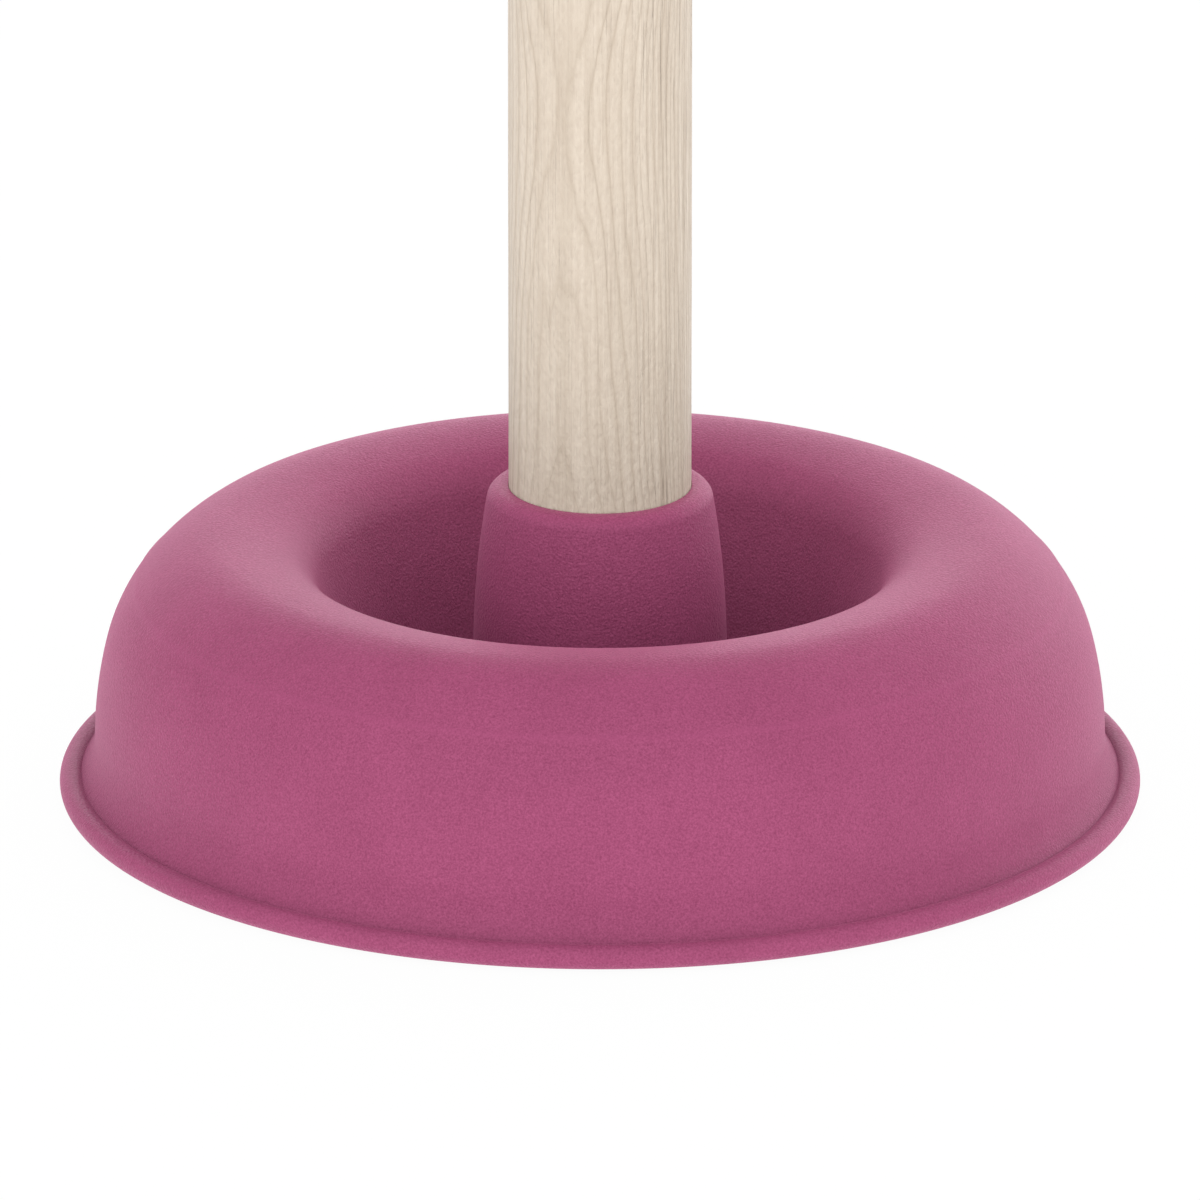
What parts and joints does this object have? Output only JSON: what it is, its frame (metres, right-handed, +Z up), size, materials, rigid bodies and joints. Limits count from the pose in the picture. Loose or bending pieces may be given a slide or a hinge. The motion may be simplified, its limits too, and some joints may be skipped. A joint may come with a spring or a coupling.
{
  "type": "toilet plunger",
  "caption": "Force cup of soft rubber with a beaded lip, a domed ring and a central socket, screwed to a straight wooden stick.",
  "frame": {"origin": "centre of the lip's underside, on the surface that the cup stands on", "axes": "+Z up along the stick, +Y towards the back"},
  "size_m": [0.14, 0.14, 0.45],
  "materials": {
    "rubber": "matte, fine powdery grain, raspberry pink",
    "wood": "pale sanded ash, unvarnished",
    "washer_steel": "zinc-plated",
    "screw_steel": "zinc-plated, slightly brighter than the washer"
  },
  "bodies": {
    "cup": {"cup": "rubber"},
    "stick": {"handle": "wood", "washer": "washer_steel", "screw": "screw_steel"}
  },
  "joints": [
    {"name": "plunge", "type": "slide", "parent": "cup", "child": "stick", "axis": [0, 0, 1], "range_m": [-0.004, 0.006], "stiffness_N_per_m": 8000, "deforming": ["cup"]}
  ]
}
